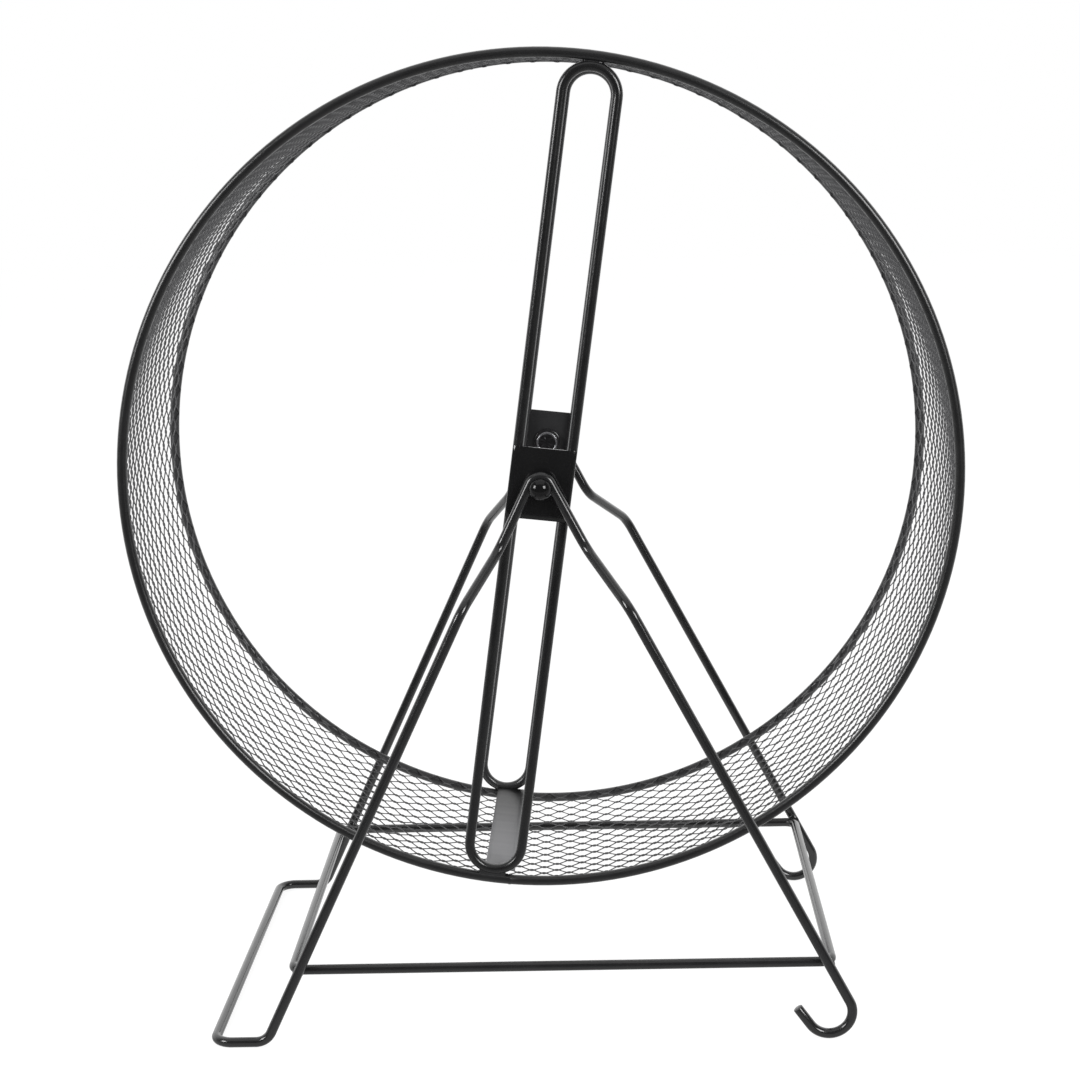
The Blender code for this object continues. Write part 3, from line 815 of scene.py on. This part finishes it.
class Field:
    """A value that varies over a surface; arithmetic on it adds Math nodes."""

    def __init__(self, shading, socket):
        self.shading = shading
        self.socket = socket

    def maths(self, operation, first, second):
        return self.shading.node("ShaderNodeMath", {"operation": operation}, {0: first, 1: second})

    def __add__(self, other):
        return self.maths("ADD", self, other)

    def __radd__(self, other):
        return self.maths("ADD", other, self)

    def __sub__(self, other):
        return self.maths("SUBTRACT", self, other)

    def __rsub__(self, other):
        return self.maths("SUBTRACT", other, self)

    def __mul__(self, other):
        return self.maths("MULTIPLY", self, other)

    def __rmul__(self, other):
        return self.maths("MULTIPLY", other, self)


class Shading:
    """The shader nodes of a material or of the world."""

    def __init__(self, owner):
        owner.use_nodes = True
        self.tree = owner.node_tree

    def node(self, kind, settings=None, inputs=None, output=0):
        made = self.tree.nodes.new(kind)
        for key, value in (settings or {}).items():
            setattr(made, key, value)
        for key, value in (inputs or {}).items():
            self.feed(made.inputs[key], value)
        return Field(self, made.outputs[output])

    def feed(self, socket, value):
        if isinstance(value, Field):
            self.tree.links.new(value.socket, socket)
        else:
            socket.default_value = value

    def part(self, vector, axis):
        return self.node("ShaderNodeSeparateXYZ", {}, {0: vector}, axis)

    def ramp(self, value, start, end, low=0.0, high=1.0, kind="SMOOTHSTEP"):
        """Go from low to high while a value goes from start to end."""
        return self.node(
            "ShaderNodeMapRange", {"interpolation_type": kind},
            {"Value": value, "From Min": start, "From Max": end, "To Min": low, "To Max": high},
        )

    def larger(self, first, second):
        return self.node("ShaderNodeMath", {"operation": "MAXIMUM"}, {0: first, 1: second})

    def ray(self, kind):
        """One for rays of a kind, such as those that leave the camera."""
        return self.node("ShaderNodeLightPath", output="Is " + kind + " Ray")

    def either(self, share, first, second):
        """Mix two shaders."""
        return self.node("ShaderNodeMixShader", {}, {0: share, 1: first, 2: second})


class Finish(Shading):
    """A material on Blender's standard surface shader."""

    def __init__(self, name, metallic=0.0, shine=0.5):
        self.material = bpy.data.materials.new(name)
        super().__init__(self.material)
        self.shader = self.tree.nodes["Principled BSDF"]
        self.feed(self.shader.inputs["Metallic"], metallic)
        self.feed(self.shader.inputs["Specular IOR Level"], shine)
        self.place = self.node("ShaderNodeTexCoord", output="Object")

    def noise(self, scale, detail):
        return self.node("ShaderNodeTexNoise", {}, {"Vector": self.place, "Scale": scale, "Detail": detail})

    def spots(self, scale, inner, outer):
        """Sparse round spots, from nothing to one."""
        cells = self.node("ShaderNodeTexVoronoi", {}, {"Vector": self.place, "Scale": scale}, "Distance")
        return self.ramp(cells, inner, outer, 1.0, 0.0, "LINEAR")

    def blend(self, share, first, second):
        """Mix two colours, which are the node's sockets 6 and 7."""
        return self.node("ShaderNodeMix", {"data_type": "RGBA"}, {0: share, 6: first, 7: second}, 2)

    def colour(self, value):
        self.feed(self.shader.inputs["Base Color"], value)

    def rough(self, value):
        self.feed(self.shader.inputs["Roughness"], value)

    def bump(self, height, distance):
        raised = self.node("ShaderNodeBump", {}, {"Height": height, "Distance": distance, "Strength": 1.0})
        self.feed(self.shader.inputs["Normal"], raised)


def grey(level):
    """A grey with the slight blue cast of black coats under white light."""
    return (level, level, level * COOL_TINT, 1.0)


def dipped_coat(name, shade, roughness, ripple, shine=0.5):
    """Black coat dipped over steel: glossy, with a faint orange peel and a little dust."""
    finish = Finish(name, shine=shine)
    cloud = finish.noise(scale=140.0, detail=3.0)
    dust = finish.spots(scale=2600.0, inner=0.02, outer=0.09) * finish.noise(scale=60.0, detail=1.0)
    coat = finish.blend(cloud, grey(shade * 0.75), grey(shade * 1.3))
    finish.colour(finish.blend(dust * 0.5, coat, grey(DUST_GREY)))
    finish.rough(roughness + (cloud - 0.5) * 0.10 + dust * 0.2)
    peel = finish.noise(scale=900.0, detail=2.0) + finish.noise(scale=260.0, detail=1.0) * 0.6
    finish.bump(peel, ripple)
    return finish.material


def strip_with_painted_sheen(name):
    """Satin black strip, painted lighter towards the front: a painted sheen standing in for the light it
    reflects there.
    """
    finish = Finish(name, shine=0.12)
    # Painted sheen: the colour goes from dark at the back to light grey at the front.
    painted_sheen = finish.ramp(finish.part(finish.place, "Y"), STRIP_OUT, -STRIP_OUT * 0.6)
    cloud = finish.noise(scale=160.0, detail=3.0)
    finish.colour(finish.blend(painted_sheen + (cloud - 0.5) * 0.3, grey(0.004), grey(0.135)))
    finish.rough(0.34 + (cloud - 0.5) * 0.12)
    grain = finish.noise(scale=700.0, detail=2.0) + finish.noise(scale=200.0, detail=1.0)
    finish.bump(grain, 0.012 * MM)
    return finish.material


def oxide_with_painted_lip_highlight(name):
    """Dark oxide steel, painted light grey from just inside the cap's round lip outwards: a painted
    highlight on the lip.
    """
    finish = Finish(name, metallic=0.85)
    offset = finish.node("ShaderNodeVectorMath", {"operation": "SUBTRACT"}, {0: finish.place, 1: AXLE})
    flat = finish.node("ShaderNodeVectorMath", {"operation": "MULTIPLY"}, {0: offset, 1: (1.0, 0.0, 1.0)})
    reach = finish.node("ShaderNodeVectorMath", {"operation": "LENGTH"}, {0: flat}, "Value")
    # Painted highlight: light grey from just inside the lip's circle outwards.
    lip = finish.ramp(reach, (LIP_CIRCLE - LIP_HIGHLIGHT_FADE[0]) * MM, (LIP_CIRCLE - LIP_HIGHLIGHT_FADE[1]) * MM)
    cloud = finish.noise(scale=420.0, detail=3.0)
    finish.colour(finish.blend(lip, grey(0.035), grey(0.22)))
    finish.rough(0.20 + (cloud - 0.5) * 0.10)
    finish.bump(cloud, 0.010 * MM)
    return finish.material


# Camera, light and floor


def place_camera():
    """The photograph's view, fitted to the rims, legs and foot; angles in radians."""
    pitch, yaw, roll = 0.242992, -0.0105899, -0.0198888
    place = Vector((0.020835, -0.761635, 0.309369))
    focal_pixels, image_pixels, sensor = 2192.45, 1080.0, 36.0
    centre_across, centre_down = 583.94, 640.0
    ahead = Vector((math.sin(yaw) * math.cos(pitch), math.cos(yaw) * math.cos(pitch), -math.sin(pitch)))
    level = Vector((math.cos(yaw), -math.sin(yaw), 0.0))
    upright = level.cross(ahead)
    across = level * math.cos(roll) + upright * math.sin(roll)
    up = upright * math.cos(roll) - level * math.sin(roll)
    data = bpy.data.cameras.new("photo_camera")
    data.sensor_width = sensor
    data.lens = focal_pixels / image_pixels * sensor
    data.shift_x = (image_pixels / 2 - centre_across) / image_pixels
    data.shift_y = (centre_down - image_pixels / 2) / image_pixels
    data.clip_start, data.clip_end = 0.01, 20.0
    camera = bpy.data.objects.new("photo_camera", data)
    facing = Matrix((across, up, -ahead)).transposed()
    camera.matrix_world = Matrix.Translation(place) @ facing.to_4x4()
    bpy.context.scene.collection.objects.link(camera)
    bpy.context.scene.camera = camera


def place_lamp(name, place, size, power):
    data = bpy.data.lights.new(name, "AREA")
    data.shape = "RECTANGLE"
    data.size, data.size_y = size
    data.energy = power
    lamp = bpy.data.objects.new(name, data)
    lamp.location = place
    lamp.rotation_euler = (LAMP_TARGET - place).to_track_quat("-Z", "Y").to_euler()
    bpy.context.scene.collection.objects.link(lamp)


def light_room():
    """White behind, beside and above the object, darker on the camera's side of the room."""
    world = bpy.data.worlds.new("white_room")
    room = Shading(world)
    room.tree.nodes.clear()

    def backdrop(strength):
        return room.node("ShaderNodeBackground", {}, {"Color": WHITE, "Strength": strength})

    depth = room.part(room.node("ShaderNodeTexCoord", output="Generated"), "Y")
    mirrored = room.larger(room.ray("Glossy"), room.ray("Transmission"))
    reflection = backdrop(room.ramp(depth, *ROOM_DEPTHS, *ROOM_LIGHT))
    lit = room.either(mirrored, backdrop(ROOM_FILL), reflection)
    seen = room.either(room.ray("Camera"), lit, backdrop(1.0))
    output = room.tree.nodes.new("ShaderNodeOutputWorld")
    room.feed(output.inputs["Surface"], seen)
    bpy.context.scene.world = world
    place_lamp("left_softbox", LEFT_LAMP, SIDE_LAMP_SIZE, SIDE_LAMP_POWER)
    place_lamp("right_softbox", RIGHT_LAMP, SIDE_LAMP_SIZE, SIDE_LAMP_POWER)
    place_lamp("overhead_softbox", HIGH_LAMP, HIGH_LAMP_SIZE, HIGH_LAMP_POWER)


def lay_floor():
    """A white floor that keeps a soft shadow."""
    fresh()
    centre = (0.0, FLOOR_SIZE / 2 - FLOOR_NEAR, -FLOOR_DROP)
    bpy.ops.mesh.primitive_plane_add(size=FLOOR_SIZE, location=centre)
    floor = named("studio_floor")
    material = bpy.data.materials.new("white_floor")
    paint = Shading(material)
    paint.tree.nodes.clear()
    camera = paint.ray("Camera")
    share = paint.larger(camera, paint.ray("Glossy")) * FLOOR_GLOW_SHARE
    depth = paint.part(paint.node("ShaderNodeNewGeometry", output="Position"), "Y")
    mirrored = paint.ramp(depth, *FLOOR_DEPTHS, *FLOOR_LIGHT)
    strength = paint.larger(mirrored, camera) * FLOOR_GLOW
    matt = paint.node("ShaderNodeBsdfDiffuse", {}, {"Color": FLOOR_GREY})
    glow = paint.node("ShaderNodeEmission", {}, {"Color": WHITE, "Strength": strength})
    output = paint.tree.nodes.new("ShaderNodeOutputMaterial")
    paint.feed(output.inputs["Surface"], paint.either(share, matt, glow))
    floor.data.materials.append(material)


# Finishes of this wheel: name, grey level, roughness, depth of the peel

wire_coat = dipped_coat("black_dipped_wire", 0.010, 0.18, 0.0005 * MM)
# The rear copies of the loop, rim and plate coats have a higher grey level than the front ones. This is
# painted light, standing in for glare and the backdrop's light reflected on the far side of the wheel.
loop_coats = {
    FRONT: dipped_coat("satin_loop_wire", 0.006, 0.25, 0.0012 * MM),
    REAR: dipped_coat("glare_lit_loop_wire", 0.018, 0.26, 0.0020 * MM),
}
# The rear rim's higher grey level is painted light.
ring_coats = {
    FRONT: dipped_coat("satin_rim_wire", 0.008, 0.30, 0.0020 * MM),
    REAR: dipped_coat("glare_lit_rim_wire", 0.024, 0.28, 0.0020 * MM, shine=0.35),
}
sheet_coat = dipped_coat("black_dipped_sheet", 0.046, 0.40, 0.010 * MM, shine=0.24)
# The rear plate's higher grey level is painted light.
plate_coats = {
    FRONT: dipped_coat("black_dipped_plate", 0.005, 0.14, 0.004 * MM),
    REAR: dipped_coat("glare_lit_dipped_plate", 0.018, 0.17, 0.004 * MM),
}
strip_coat = strip_with_painted_sheen("satin_strip")
head_coat = dipped_coat("black_pin_head", 0.004, 0.09, 0.002 * MM, shine=0.3)
bush_plastic = dipped_coat("black_bush", 0.008, 0.20, 0.006 * MM)
oxide = oxide_with_painted_lip_highlight("oxide_steel")

# Wheel and hubs

for side, end in ENDS:
    ring = make_ring(end + "_rim_wire", side)
    seat(ring, ring_coats[side], "wheel", "black_coat", end + "_ring")
    loop = make_loop(end + "_loop_wire", side)
    seat(loop, loop_coats[side], "wheel", "black_coat", end + "_spoke_loop")
    plate = make_hub_plate(end + "_curled_plate", side)
    seat(plate, plate_coats[side], "wheel", "black_coat", end + "_hub_plate")
    pin = make_pin(end + "_pin_with_domed_head", side)
    seat(pin, head_coat, "stand", "black_coat", end + "_axle_pin")
    washer = make_washer(end + "_turned_washer", side)
    seat(washer, oxide, "stand", "black_oxide", end + "_thrust_washer")
    bush = make_bush(end + "_flanged_bush", side)
    seat(bush, bush_plastic, "wheel", "black_plastic", end + "_hub_bush")
    cap = make_cap(end + "_dished_cap", side)
    seat(cap, oxide, "stand", "black_oxide", end + "_pin_cap")
    top_weld = make_loop_weld(end + "_loop_top_weld", side, 1, TOP_WELD, tab=False)
    seat(top_weld, wire_coat, "wheel", "black_coat")
    # The front foot weld's broad tab is partly weld metal and partly painted shade in the wedge under the
    # loop's foot.
    foot_weld = make_loop_weld(end + "_loop_foot_weld", side, -1, FOOT_WELD[side], tab=side == FRONT)
    seat(foot_weld, wire_coat, "wheel", "black_coat")

seat(make_mesh_drum(), sheet_coat, "wheel", "coated_mesh", "mesh_drum")
seat(make_seam_strip(), strip_coat, "wheel", "coated_mesh", "seam_strip")

# Stand

seat(make_stand(), wire_coat, "stand", "black_coat", "stand_wire")
seat(make_base(), wire_coat, "stand", "black_coat", "base_frame")
for side, end in ENDS:
    left_weld = make_leg_weld(end + "_left_leg_weld", side, -1, LOW_KNEE_LEFT, LEFT_REACH)
    seat(left_weld, wire_coat, "stand", "black_coat")
    right_weld = make_leg_weld(end + "_right_leg_weld", side, 1, LOW_KNEE_RIGHT, RIGHT_REACH)
    seat(right_weld, wire_coat, "stand", "black_coat")

place_camera()
light_room()
lay_floor()
bpy.context.scene.view_settings.view_transform = "Standard"
